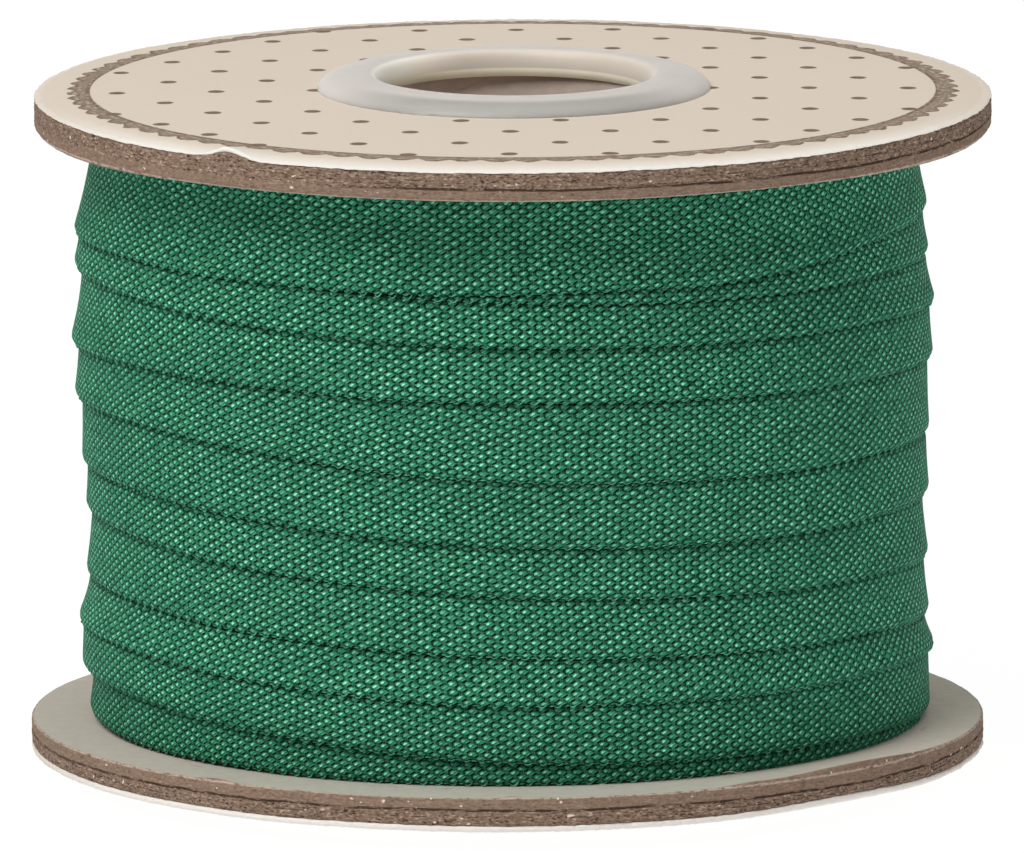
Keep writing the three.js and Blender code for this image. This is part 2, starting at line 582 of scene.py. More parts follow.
# Every lower edge rises a little before it falls away at the sides
SIDES = ((203, 10, 0.32), (337, 10, 0.30))
LABEL_LEVEL = 1.6
FIRST_ANGLE = 90
PLACE_STEP = 45
MARK_STEP = 15
MARKS_A_TURN = TURN // MARK_STEP
TOP_RADIUS = 27.48 * MM
CLOTH_RADIUS = 28.4 * MM
CLOTH_TOP = UPPER_FACE - 0.02 * MM
LAST_MARK = len(TURNS) * MARKS_A_TURN
COLUMNS_A_TURN = 180
# The rounded lower nose of each turn, and the groove under the turn above
NOSE_HEIGHT = 0.62 * MM
NOSE_DEPTH = 0.44 * MM
GROOVE_DEPTH = 0.16 * MM
# The strands of a float, the slits at its corners and its painted highlight, in the weave
STRAND_SLOPE = 36
STRAND_PITCH = 0.19 * MM
SLIT_LENGTH = 0.175 * MM
SLIT_WIDTH = 0.066 * MM
HIGHLIGHT_LENGTH = 0.185 * MM
HIGHLIGHT_WIDTH = 0.090 * MM
WEAVE_DEPTH = 0.17 * MM
# Outer radius of the turns that the last ones hide
INNER_TURNS_RADIUS = 27.0 * MM
# Inputs of both node trees that follow the helix
SHARED_INPUTS = {"Guide": "Object", "Width": "Float", "Thickness": "Float", "Material": "Material"}


def helix_places():
    """The edge's radius, its height and the radius below it, every eighth of a turn from the ribbon's end."""
    first = (TURNS[0][5], TURNS[0][0], TURNS[0][7])
    places = [first, first]
    for index, turn in enumerate(TURNS):
        after = TURNS[min(index + 1, len(TURNS) - 1)]
        for step in range(5):
            share = step / 4
            edge = turn[5] + (turn[6] - turn[5]) * share
            below = turn[7] + (turn[8] - turn[7]) * share
            places.append((edge, turn[step], below))
        right = (turn[6], turn[4], turn[8])
        left = (after[5], after[0], after[7])
        # Behind, the places run evenly from one turn's right to the next turn's left
        for step in (1, 2, 3):
            places.append(tuple(a + (b - a) * step / 4 for a, b in zip(right, left)))
    return places


def helix_marks():
    """The same measures at every mark, on a smooth curve through the places, with the bends added."""
    places = helix_places()
    marks = []
    steps = PLACE_STEP // MARK_STEP
    for index in range((len(places) - 1) * steps + 1):
        place_index, share = index // steps, index % steps / steps
        around = [places[min(max(place_index + step, 0), len(places) - 1)] for step in (-1, 0, 1, 2)]
        edge, height, below = (smooth_between(*values, share) for values in zip(*around))
        angle = FIRST_ANGLE + index * MARK_STEP
        for turn, centre, spread, bend in BENDS:
            height += bend * math.exp(-(((angle - centre - turn * TURN) / spread) ** 2) / 2)
        height += sum(rise * hill(angle, centre, spread) for centre, spread, rise in SIDES)
        marks.append((edge * MM, max((height + LABEL_LEVEL) * MM, foot(angle)), below * MM))
    return marks


def smooth_between(before, start, end, after, share):
    """A smooth curve through four even values, at a share of the way from the second to the third."""
    bend = 2 * before - 5 * start + 4 * end - after
    twist = 3 * (start - end) + after - before
    return start + 0.5 * share * (end - before + share * (bend + share * twist))


def poly_curve(name, points):
    data = bpy.data.curves.new(name, "CURVE")
    data.dimensions = "3D"
    spline = data.splines.new("POLY")
    spline.points.add(len(points) - 1)
    for point, place_at in zip(spline.points, points):
        point.co = (*place_at, 1)
    return new_object(name, data)


def guide_curve():
    """The helix as a curve: a mark for each metre of X, with its radius on Y and its height on Z."""
    marks = helix_marks()
    points = [(index, edge, height) for index, (edge, height, _) in enumerate(marks)]
    guide = poly_curve("guide", points)
    # The curve's own radius is the radius of the cloth below
    for point, (_, _, below) in zip(guide.data.splines[0].points, marks):
        point.radius = below
    return guide


def section_curve():
    """The ribbon's section as a closed curve."""
    # X is 0 at the lower edge, 1 where the turn above covers it and 2 at the upper edge.
    # Y is 0 on the outer face and 1 on the inner. Z is 0 at the very edge.
    across = (2, 1.6, 1.3, 1.12, 1.04, 1, 0.95, 0.86, 0.74, 0.62, 0.5, 0.38, 0.27, 0.18, 0.11, 0.05, 0)
    points = [(place_across, 0, 1) for place_across in across]
    for step in range(1, 6):
        turn = math.pi * step / 6
        points.append((0, (1 - math.cos(turn)) / 2, 1 - math.sin(turn)))
    points += [(place_across, 1, 1) for place_across in (0, 0.5, 1, 1.5, 2)]
    section = poly_curve("section", points)
    section.data.splines[0].use_cyclic_u = True
    return section


def new_tree(name, inputs):
    """A Geometry Nodes tree with named inputs, and its group input as a dict of wires."""
    tree = bpy.data.node_groups.new(name, "GeometryNodeTree")
    for label, kind in inputs.items():
        tree.interface.new_socket(name=label, in_out="INPUT", socket_type="NodeSocket" + kind)
    tree.interface.new_socket(name="Geometry", in_out="OUTPUT", socket_type="NodeSocketGeometry")
    source = tree.nodes.new("NodeGroupInput")
    return tree, {label: Wire(tree, source.outputs[label]) for label in inputs}


def run_tree(name, tree, values):
    """Evaluates the tree on a new object and keeps the result as a plain mesh."""
    holder = new_object(name + "_holder", bpy.data.meshes.new(name + "_holder"))
    modifier = holder.modifiers.new(name, "NODES")
    modifier.node_group = tree
    for item in tree.interface.items_tree:
        if item.in_out == "INPUT":
            modifier[item.identifier] = values[item.name]
    graph = bpy.context.evaluated_depsgraph_get()
    mesh = bpy.data.meshes.new_from_object(holder.evaluated_get(graph), depsgraph=graph)
    mesh.name = name
    bpy.data.objects.remove(holder)
    if not mesh.polygons:
        raise RuntimeError(name + " came out empty")
    return new_object(name, mesh)


class Helix:
    """Reads the guide curve in a tree, and works out how the ribbon lies at a mark."""

    def __init__(self, wire, guide, thickness):
        self.wire = wire
        smooth = wire.node("GeometryNodeCurveSplineType", {"spline_type": "CATMULL_ROM"}, {"Curve": guide})
        inputs = {"Geometry": smooth, "Resolution": 12}
        self.guide = wire.node("GeometryNodeSetSplineResolution", None, inputs)
        self.below = wire.node("GeometryNodeInputRadius")
        self.thickness = thickness

    def read(self, mark):
        inputs = {"Curves": self.guide, "Value": self.below, "Length": mark}
        sample = self.wire.node("GeometryNodeSampleCurve", {"mode": "LENGTH"}, inputs)
        _, edge, height = sample.out("Position").parts()
        return edge, height, sample

    def around(self, mark):
        """This turn and two above it: edge radius, edge height, height of the turn above, radius there."""
        reads = []
        top = TOP_RADIUS - self.wire.math("COSINE", mark_turn(mark)) * (0.12 * MM)
        for turn in range(4):
            edge, height, below = self.read(mark - turn * MARKS_A_TURN)
            if turn:
                real = mark.rise(turn * MARKS_A_TURN - 0.4, turn * MARKS_A_TURN)
                height = real.blend(CLOTH_TOP, height)
                below = real.blend(top, below)
            reads.append((edge, height, below))
        turns = []
        for turn in range(3):
            edge, height, _ = reads[turn]
            lid = reads[turn + 1][1]
            if turn < 2:
                lid = lid.least(reads[turn + 2][1])
            turns.append((edge, height, lid, reads[turn + 1][2]))
        return turns

    def face(self, z, across, turns):
        """Radius of the outer face at height z, which is across from the lower edge."""
        edge, height, lid, under = turns[0]
        share = across / (lid - height).most(0.3 * MM)
        own = self.flare(share, edge, under)
        curl = ((NOSE_HEIGHT - across) / NOSE_HEIGHT).limited() ** 2.2 * NOSE_DEPTH
        groove = (lid - z).rise(0.22 * MM, 0.03 * MM) * GROOVE_DEPTH
        own = own - curl - groove
        for layer, (edge, height, lid, under) in enumerate(turns[1:], 1):
            share = (z - height) / (lid - height).most(0.3 * MM)
            cap = self.flare(share, edge, under) - self.thickness * (1.2 * layer)
            hidden = (z - height).rise(-0.02 * MM, 0.08 * MM)
            own = hidden.blend(own, own.least(cap))
        return own

    def flare(self, share, edge, under):
        """A turn flares out towards its lower edge."""
        return ((1 - share.limited()) ** 1.6).blend(under, edge)


def mark_turn(mark):
    return mark * math.radians(MARK_STEP) + math.radians(FIRST_ANGLE)


def at_angle(wire, mark, radius, height):
    """The point on the spool at a mark."""
    turn = mark_turn(mark)
    return wire.joined(radius * wire.math("COSINE", turn), radius * wire.math("SINE", turn), height)


def marked_rail(wire, count):
    """A line of count points that hold their mark along the helix."""
    line = wire.node("GeometryNodeCurvePrimitiveLine", None, {"End": (1, 0, 0)})
    rail = wire.node("GeometryNodeResampleCurve", {"mode": "COUNT"}, {"Curve": line, "Count": count})
    step = wire.math("DIVIDE", LAST_MARK, count - 1)
    mark = wire.node("GeometryNodeInputIndex") * step
    return stored(wire, rail, "mark", mark)


def named(wire, name, kind="FLOAT"):
    return wire.node("GeometryNodeInputNamedAttribute", {"data_type": kind}, {"Name": name})


def shape_of(wire, thing):
    return wire.node("GeometryNodeObjectInfo", None, {"Object": thing}, "Geometry")


def stored(wire, geometry, name, value, kind="FLOAT", domain="POINT"):
    settings = {"data_type": kind, "domain": domain}
    inputs = {"Geometry": geometry, "Name": name, "Value": value}
    return wire.node("GeometryNodeStoreNamedAttribute", settings, inputs)


def finish_tree(wire, geometry, material):
    smooth = wire.node("GeometryNodeSetShadeSmooth", None, {"Geometry": geometry})
    real = wire.node("GeometryNodeRealizeInstances", None, {"Geometry": smooth})
    done = wire.node("GeometryNodeSetMaterial", None, {"Geometry": real, "Material": material})
    wire.node("NodeGroupOutput", None, {"Geometry": done})


def ribbon_tree():
    tree, given = new_tree("Wound ribbon", {**SHARED_INPUTS, "Section": "Object", "Columns": "Int"})
    wire = Wire(tree)
    guide = shape_of(wire, given["Guide"])
    section = shape_of(wire, given["Section"])
    spot = wire.node("GeometryNodeInputPosition")
    section = stored(wire, section, "section", spot, "FLOAT_VECTOR")
    rail = marked_rail(wire, given["Columns"])
    swept = wire.node(
        "GeometryNodeCurveToMesh", None, {"Curve": rail, "Profile Curve": section, "Fill Caps": True}
    )
    helix = Helix(wire, guide, given["Thickness"])
    mark = named(wire, "mark")
    place_across, depth, nose = named(wire, "section", "FLOAT_VECTOR").parts()
    turns = helix.around(mark)
    _, height, lid, _ = turns[0]
    # The turns by the upper board reach up to it
    room = CLOTH_TOP - height
    full = (room / given["Width"]).rise(1.3, 1.12).blend(given["Width"], room)
    shown = (lid - height).most(0.0).least(full)
    low = place_across.least(1.0) * shown
    high = (place_across - 1.0).most(0.0) * (full - shown)
    half = given["Thickness"] * 0.5
    flat = (low + high) * ((full - half) / full) + half * nose
    z = height + flat
    wobble = wire.joined(mark * 0.53, flat * 180).noise(1.0, 2.0) - 0.5
    radius = helix.face(z, flat, turns) + wobble * (0.10 * MM) - given["Thickness"] * depth
    moved = wire.node(
        "GeometryNodeSetPosition", None, {"Geometry": swept, "Position": at_angle(wire, mark, radius, z)}
    )
    # The yarns wander, so the map along the ribbon does too
    along = mark * (math.radians(MARK_STEP) * CLOTH_RADIUS)
    ground = wire.joined(along, flat)
    drift, lift, _ = ground.scaled(70, 260).noise(1.0, 1.0).out("Color").parts()
    sway = ground.scaled(28, 90).noise(1.0, 1.0)
    along = along + (drift - 0.5) * (0.55 * MM) + (sway - 0.5) * (1.6 * MM)
    mapped_across = flat + (lift - 0.5) * (0.12 * MM)
    mapped = stored(wire, moved, "UVMap", wire.joined(along, mapped_across), "FLOAT2", "CORNER")
    shaded = stored(wire, mapped, "below_seam", lid - z)
    finish_tree(wire, shaded, given["Material"])
    return tree


def loops_tree():
    tree, given = new_tree("Edge loops", {**SHARED_INPUTS, "Loop": "Object", "Count": "Int"})
    wire = Wire(tree)
    guide = shape_of(wire, given["Guide"])
    loop = shape_of(wire, given["Loop"])
    rail = marked_rail(wire, given["Count"])
    helix = Helix(wire, guide, given["Thickness"])
    mark = named(wire, "mark")
    turns = helix.around(mark)
    height = turns[0][1]
    radius = helix.face(height, 0.0 * mark, turns) - given["Thickness"] * 0.5
    laid = wire.node(
        "GeometryNodeSetPosition", None, {"Geometry": rail, "Position": at_angle(wire, mark, radius, height)}
    )
    points = wire.node("GeometryNodeCurveToPoints", {"mode": "EVALUATED"}, {"Curve": laid})
    outward = at_angle(wire, mark, 1.0, 0.0)
    turned_out = wire.node(
        "FunctionNodeAxesToRotation",
        {"primary_axis": "Z", "secondary_axis": "X"},
        {0: outward, 1: points.out("Tangent")},
    )
    sizes = {"Min": (0.85, 0.8, 0.8), "Max": (1.1, 1.25, 1.15), "Seed": 5}
    scale = wire.node("FunctionNodeRandomValue", {"data_type": "FLOAT_VECTOR"}, sizes)
    many = wire.node(
        "GeometryNodeInstanceOnPoints",
        None,
        {"Points": points, "Instance": loop, "Rotation": turned_out, "Scale": scale},
    )
    finish_tree(wire, many, given["Material"])
    return tree


def weave_material(look):
    """Plain weave from the ribbon's own map: warp floats of slanted strands, weft crowns and slits."""
    material, wire, shader = new_material(
        "woven_ribbon",
        {
            "Roughness": 0.6,
            "Specular IOR Level": 0.03,
            "Sheen Weight": 0.45,
            "Sheen Roughness": 0.35,
            "Sheen Tint": look.veil,
        },
    )
    uv = wire.node("ShaderNodeUVMap", {"uv_map": "UVMap"})
    along, across, _ = uv.parts()
    fuzz = uv.scaled(2300, 3400).noise(1.0, 2.0, 0.6)
    push_x, push_y, fibres = fuzz.out("Color").parts()
    columns = along / look.weft_pitch
    rows = across / look.warp_pitch
    first = (columns + rows) * 0.5
    second = (columns - rows) * 0.5
    first_cell = first.rounded()
    second_cell = second.rounded()
    cell = wire.joined(first_cell, second_cell)
    luck = wire.node("ShaderNodeTexWhiteNoise", {"noise_dimensions": "2D"}, {"Vector": cell})
    luck_red, luck_green, luck_blue = luck.out("Color").parts()
    x = (first - first_cell) + (second - second_cell)
    y = (first - first_cell) - (second - second_cell)
    # The strands of a float rise to the right
    slope = math.radians(STRAND_SLOPE)
    step_x, step_y = look.weft_pitch, look.warp_pitch
    rising = y * (step_y * math.cos(slope)) - x * (step_x * math.sin(slope))
    running = x * (step_x * math.cos(slope)) + y * (step_y * math.sin(slope))
    phase = rising * (2 * math.pi / STRAND_PITCH) + luck_red * 1.6 - 1.6
    strand = wire.math("COSINE", phase) * 0.5 + 0.5
    # Each float is cut off where it dives under the next weft yarn, and its outline follows its strands
    size = luck_blue * 0.16 + 0.92
    wide = (x + (push_x - 0.5) * 0.36 + (luck_green - 0.5) * 0.20) / (size * 0.63)
    tall = (y - x * 0.12 + (push_y - 0.5) * 0.44 + (luck_red - 0.5) * 0.16) / (size * 0.62)
    outline = 1 - abs(wide) ** 2.4 - abs(tall) ** 2.2 + (strand - 0.55) * 0.34
    pillow = outline.limited() ** 0.45
    side = (push_x - 0.5) * 0.22
    over = ((x + side) / 0.46) ** 2 + ((1 - abs(y)) / 0.70) ** 2
    beside = ((1 - abs(x)) / 0.46) ** 2 + (y / 0.70) ** 2
    crown = (1 - over.least(beside)).limited() ** 0.45 * 0.72
    is_warp = (pillow - crown).rise(-0.12, 0.12)
    top = pillow.most(crown)
    # A slit stands open at each corner of a float, and those at the upper left and lower right are larger
    corner_x = (abs(x) - 0.5) * step_x
    corner_y = (abs(y) - 0.5) * step_y
    tilt = math.atan2(step_y, step_x)
    slit_along = corner_x * math.cos(tilt) - corner_y * math.sin(tilt) + (push_x - 0.5) * (0.12 * MM)
    slit_across = corner_x * math.sin(tilt) + corner_y * math.cos(tilt) + (push_y - 0.5) * (0.07 * MM)
    slit = (slit_along / SLIT_LENGTH) ** 2 + (slit_across / SLIT_WIDTH) ** 2
    open_side = (x * y * 40).rise(0.6, -0.6)
    patchy = uv.scaled(90, 420).noise(1.0, 2.0, 0.6)
    open_here = open_side.blend(patchy * 1.6 - 0.45, 1.0)
    slit = slit.rise(1.5, 0.5) * (open_here * (0.75 + luck_blue * 0.5)).limited()
    # Painted highlight on the upper left of a float, as if lit from there; painted shade darkens it to the
    # lower right
    highlight_across = (rising - 0.075 * MM) / HIGHLIGHT_WIDTH
    highlight_along = (running + 0.105 * MM + (luck_red - 0.5) * (0.14 * MM)) / HIGHLIGHT_LENGTH
    painted_highlight = (1 - highlight_across**2 - highlight_along**2).limited()
    bright = strand * 0.26 + painted_highlight * (luck_green * 0.85 + 0.20) + (fibres - 0.5) * 1.1 - x * 0.16 - 0.06
    warp = (bright * pillow).limited().tint(look.warp, look.warp_highlight)
    crossing = wire.math("COSINE", columns * (2 * math.pi * 3.6)) * 0.16
    weft = (fibres * 1.7 + crossing + luck_blue * 0.3 - 0.46).limited().tint(look.gap, look.weft)
    yarn = is_warp.tint(weft, warp)
    # Painted shade: the low parts between the yarns and the slits are darkened towards the gap colour, for
    # the shade that falls in them
    solid = top.rise(0.0, 0.42) * 0.72 + 0.28
    base = (solid * (1 - slit)).tint(look.gap, yarn)
    # Painted shade: darker just under the edge of the turn above, and close to both boards, most under the
    # upper one; the patches are the cloth's own uneven tone
    seam = wire.node("ShaderNodeAttribute", {"attribute_name": "below_seam"}, None, "Fac")
    seam_shade = seam.rise(0.02 * MM, 0.14 * MM) * 0.55 + seam.rise(0.05 * MM, 0.55 * MM) * 0.33 + 0.12
    z = wire.spot().parts()[2]
    board_shade = z.rise(UPPER_FACE, UPPER_FACE - 1.6 * MM) * 0.32 + z.rise(LOWER_FACE, 10 * MM) * 0.14 + 0.54
    patches_and_shade = (patchy.rise(0.25, 0.75) * 0.24 + 0.86) * seam_shade * board_shade
    settings = {"data_type": "RGBA", "blend_type": "MULTIPLY"}
    base = wire.node("ShaderNodeMix", settings, {0: 1.0, 6: base, 7: wire.joined(patches_and_shade, patches_and_shade, patches_and_shade)}, 2)
    height = top - slit * 0.6 + strand * pillow * 0.30 + fibres * 0.25
    finish_material(wire, shader, base, None, height, WEAVE_DEPTH)
    return material


def yarn_material(look):
    material, wire, shader = new_material("edge_yarn", {"Roughness": 0.7, "Specular IOR Level": 0.05})
    spot = wire.spot()
    fibres = spot.noise(9000, 2.0)
    luck = spot.noise(1400, 1.0)
    base = (fibres * 0.8 + luck * 0.7 - 0.35).limited().tint(look.gap, look.edge)
    finish_material(wire, shader, base, None, fibres, 0.02 * MM)
    return material


def loop_object(look):
    """One small loop of weft yarn round the ribbon's edge. X is along the ribbon, Y up it and Z outwards."""
    route = (
        (-0.30, 0.10, 0.10),
        (-0.20, 0.00, 0.16),
        (-0.06, -0.03, 0.20),
        (0.08, 0.03, 0.24),
        (0.19, 0.14, 0.27),
        (0.28, 0.25, 0.26),
    )
    path = [Vector(point) * MM for point in route]
    return tubes("loop", [path], 0.054 * MM, 5, yarn_material(look))


class SPOOL_OT_ribbon(bpy.types.Operator):
    """Winds the ribbon on the spool, with the small loops along its edge"""

    bl_idname = "spool.ribbon"
    bl_label = "Ribbon"

    def execute(self, context):
        look = context.scene.spool_ribbon
        guide = guide_curve()
        section = section_curve()
        loop = loop_object(look)
        values = {
            "Guide": guide,
            "Section": section,
            "Width": look.width,
            "Thickness": look.thickness,
            "Columns": len(TURNS) * COLUMNS_A_TURN + 1,
            "Material": weave_material(look),
        }
        ribbon = run_tree("ribbon", ribbon_tree(), values)
        if signed_volume(ribbon.data) < 0:
            ribbon.data.flip_normals()
        place(ribbon, "ribbon", "ribbon_winding")
        path = len(TURNS) * 2 * math.pi * CLOTH_RADIUS
        values["Loop"] = loop
        values["Count"] = int(path / (2 * look.weft_pitch)) + 1
        values["Material"] = loop.data.materials[0]
        place(run_tree("edge_loops", loops_tree(), values), "ribbon")
        place(self.layers(look), "ribbon")
        for helper in (guide, section, loop):
            bpy.data.objects.remove(helper)
        return {"FINISHED"}

    def layers(self, look):
        """The turns under the last ones, as one solid down to the tube. Only a thread of it could show."""
        material, wire, shader = new_material("inner_turns", {"Roughness": 0.8})
        spot = wire.spot()
        base = spot.noise(2500, 2.0).tint(look.gap, look.warp)
        finish_material(wire, shader, base, None, spot.noise(3000, 2.0), 0.1 * MM)

        def section(angle):
            points = []
            bottom = foot(angle)
            for step in range(21):
                share = step / 20
                z = bottom + (CLOTH_TOP - bottom) * share
                points.append((INNER_TURNS_RADIUS + 0.06 * MM * rough(9, 3 * angle / 90, 25 * share), z))
            return points + [(BOARD_HOLE, CLOTH_TOP), (BOARD_HOLE, bottom)]

        return turned("inner_turns", section, INNER_TURNS_COLUMNS, material)


def board_material(name, look, bottom, thick, shift, crack, second_crack, pale_side, parting, tilt=0.0):
    """Cut board with a grey lining. The cracks and the pale side are shares of its thickness."""
    material, wire, shader = new_material(name, {"Roughness": 0.95, "Specular IOR Level": 0.12})
    spot = wire.spot()
    x, y, z = spot.parts()
    x = x - shift
    radius = (x * x + y * y) ** 0.5
    # The lower board leans back, by its tilt at the sides
    down = (y * (1 / FLANGE_RADIUS) + 1) * tilt if tilt else 0.0
    level = (z - bottom + down) / thick
    fibre = spot.scaled(1, 1, 3.0).noise(2100, 3.0, 0.7)
    fleck = spot.scaled(1, 1, 2.0).noise(4200, 1.0, 0.5)
    streak = spot.scaled(1, 1, 7).noise(620, 3.0, 0.65)
    wave = (spot.scaled(1, 1, 0).noise(240, 3.0) - 0.5) * 0.17
    bumpy = level + wave
    # The plies have parted to the right of a place
    parted = (x + y * 0.3).rise(parting - 4 * MM, parting + 6 * MM)
    line = abs(bumpy - crack).rise(0.062, 0.020) * streak.rise(0.42, 0.52) * parted
    second = abs(bumpy - second_crack).rise(0.034, 0.010) * streak.rise(0.55, 0.60) * parted
    cracks = line.most(second * 0.8)
    # The ply on the pale side is the smoother one
    away = bumpy - crack
    smooth_ply = away.rise(-0.02, 0.06) if pale_side else away.rise(0.02, -0.06)
    grain = (fibre - 0.5) * 1.5 + (fleck - 0.5) * 1.0 + (streak - 0.5) * 0.6
    mottled = 0.56 + grain * (1 - smooth_ply * 0.45)
    edge = (mottled + smooth_ply * 0.06).limited().tint(look.edge_dark, look.edge)
    pale_fibre = mottled.rise(0.68, 1.15) * 0.55
    edge = pale_fibre.tint(edge, look.edge_light)
    dark = fleck.rise(0.42, 0.33) * streak.rise(0.55, 0.44) * (1 - smooth_ply * 0.75)
    edge = (cracks.most(dark) * 0.94).tint(edge, look.edge_dark)
    speck = spot.scaled(1, 1, 1.3).noise(1900, 1.0).rise(0.735, 0.775)
    rim_fibre = abs(level - pale_side).rise(0.06, 0.02) * fibre.rise(0.36, 0.52) * 0.45
    edge = speck.most(rim_fibre).tint(edge, look.edge_light)
    face = (spot.noise(1100, 3.0, 0.7) - 0.5) * 1.1 + 0.5
    lining = face.tint(*shades(look.face, 0.86, 1.12))
    normal_z = wire.node("ShaderNodeNewGeometry", None, None, "Normal").parts()[2]
    is_face = abs(normal_z).rise(0.60, 0.85) * radius.rise(31.96 * MM, 31.78 * MM)
    warm = abs(x).rise(12 * MM, 26 * MM) * 0.8
    lining = warm.tint(lining, face.tint((0.455, 0.400, 0.350), (0.56, 0.50, 0.445)))
    # Painted light: a paler right side, as if more light falls there
    lining = (x.rise(18 * MM, 29 * MM) * 0.85).tint(lining, face.tint((0.64, 0.56, 0.49), (0.80, 0.71, 0.62)))
    base = is_face.tint(edge, lining)
    height = fibre * 0.9 + fleck * 0.35 - cracks * 0.8
    finish_material(wire, shader, base, None, is_face.blend(height, face * 0.3), 0.11 * MM)
    return material


# Rows of the board's mesh: shares of its cut edge from the bottom up, and radii of its faces in millimetres
EDGE_SHARES = (0.0, 0.035, 0.09, 0.16, 0.24, 0.32, 0.4, 0.48, 0.56, 0.64, 0.72, 0.8, 0.88, 0.95, 1.0)
FACE_RADII = (31.7, 31.0, 30.0, 28.5, 26)


def board_section(bottom, top, radius, shift, seed, sag=None):
    """The board's section, from rules for the heights of its rim and for its lean."""
    centre_low, centre_high = CENTRE[bottom], CENTRE[top]

    def section(angle):
        turn = math.radians(angle)
        low, high = bottom(angle), top(angle)
        # The shift moves the disc along X, so it lengthens the radius on that side
        offset = shift * math.cos(turn)
        points = []
        for share in EDGE_SHARES:
            z = low + (high - low) * share
            low_corner = 0.16 * MM * max(0, 1 - share / 0.09) ** 2
            high_corner = 0.10 * MM * max(0, (share - 0.91) / 0.09) ** 2
            corner = low_corner + high_corner
            fray = 0.040 * MM * rough_round(seed, angle, 27, share * 5)
            fine = 0.035 * MM * rough_round(seed + 3, angle, 110, share * 12)
            points.append((radius + offset - corner + fray + fine, z))
        near = [max(0.0, (inner - 27) / 5) ** 2 for inner in FACE_RADII]
        places = (*FACE_RADII, 10.8, radius / MM)
        lean = [sag(angle, inner * MM / radius) if sag else 0.0 for inner in places]
        high, low = high + lean[-1], low + lean[-1]
        for inner, share, down in zip(FACE_RADII, near, lean):
            points.append((inner * MM + offset, centre_high + (high - centre_high) * share - down))
        points.append((BOARD_HOLE, centre_high - lean[-2]))
        points.append((BOARD_HOLE, centre_low - lean[-2]))
        for inner, share, down in reversed(list(zip(FACE_RADII, near, lean))):
            points.append((inner * MM + offset, centre_low + (low - centre_low) * share - down))
        return points

    return section


# Height of each face of a board towards its middle
CENTRE = {
    upper_top: UPPER_BOARD,
    upper_bottom: UPPER_FACE,
    lower_top: LOWER_FACE,
    lower_bottom: LOWER_BOARD,
}


class SPOOL_OT_boards(bpy.types.Operator):
    """Cuts the two board flanges"""

    bl_idname = "spool.boards"
    bl_label = "Boards"

    def execute(self, context):
        look = context.scene.spool_board
        thick = UPPER_BOARD - UPPER_FACE
        cracks = {"crack": 0.40, "second_crack": 0.70, "pale_side": 0.0, "parting": -20 * MM}
        upper = board_material("cut_board_upper", look, UPPER_FACE, thick, UPPER_SHIFT, **cracks)
        section = board_section(upper_bottom, upper_top, look.radius, UPPER_SHIFT, 11)
        place(turned("board_top", section, RIM_COLUMNS, upper), "board", "flange_top")
        thick = LOWER_FACE - LOWER_BOARD
        cracks = {"crack": 0.55, "second_crack": 0.30, "pale_side": 1.0, "parting": -36 * MM}
        lower = board_material("cut_board_lower", look, LOWER_BOARD, thick, 0, tilt=LOWER_TILT, **cracks)
        section = board_section(lower_bottom, lower_top, look.radius, 0, 21, lower_sag)
        place(turned("board_bottom", section, RIM_COLUMNS, lower), "board", "flange_bottom")
        return {"FINISHED"}


# One printed dot, and the steps to its neighbour in the row and in the next row, from the middle of the paper
DOT_START = (0.25, 25.35)
DOT_STEP = (6.606, 0.148)
DOT_ROW = (3.345, 4.430)
TEETH = 88
# Radii of the rows of the paper's mesh, in millimetres
PAPER_RADII = (31.72, 31.4, 31.0, 30.5, 30, 29.4, 28.6, 27, 24, 20, 16, 13, 11, 9.8)


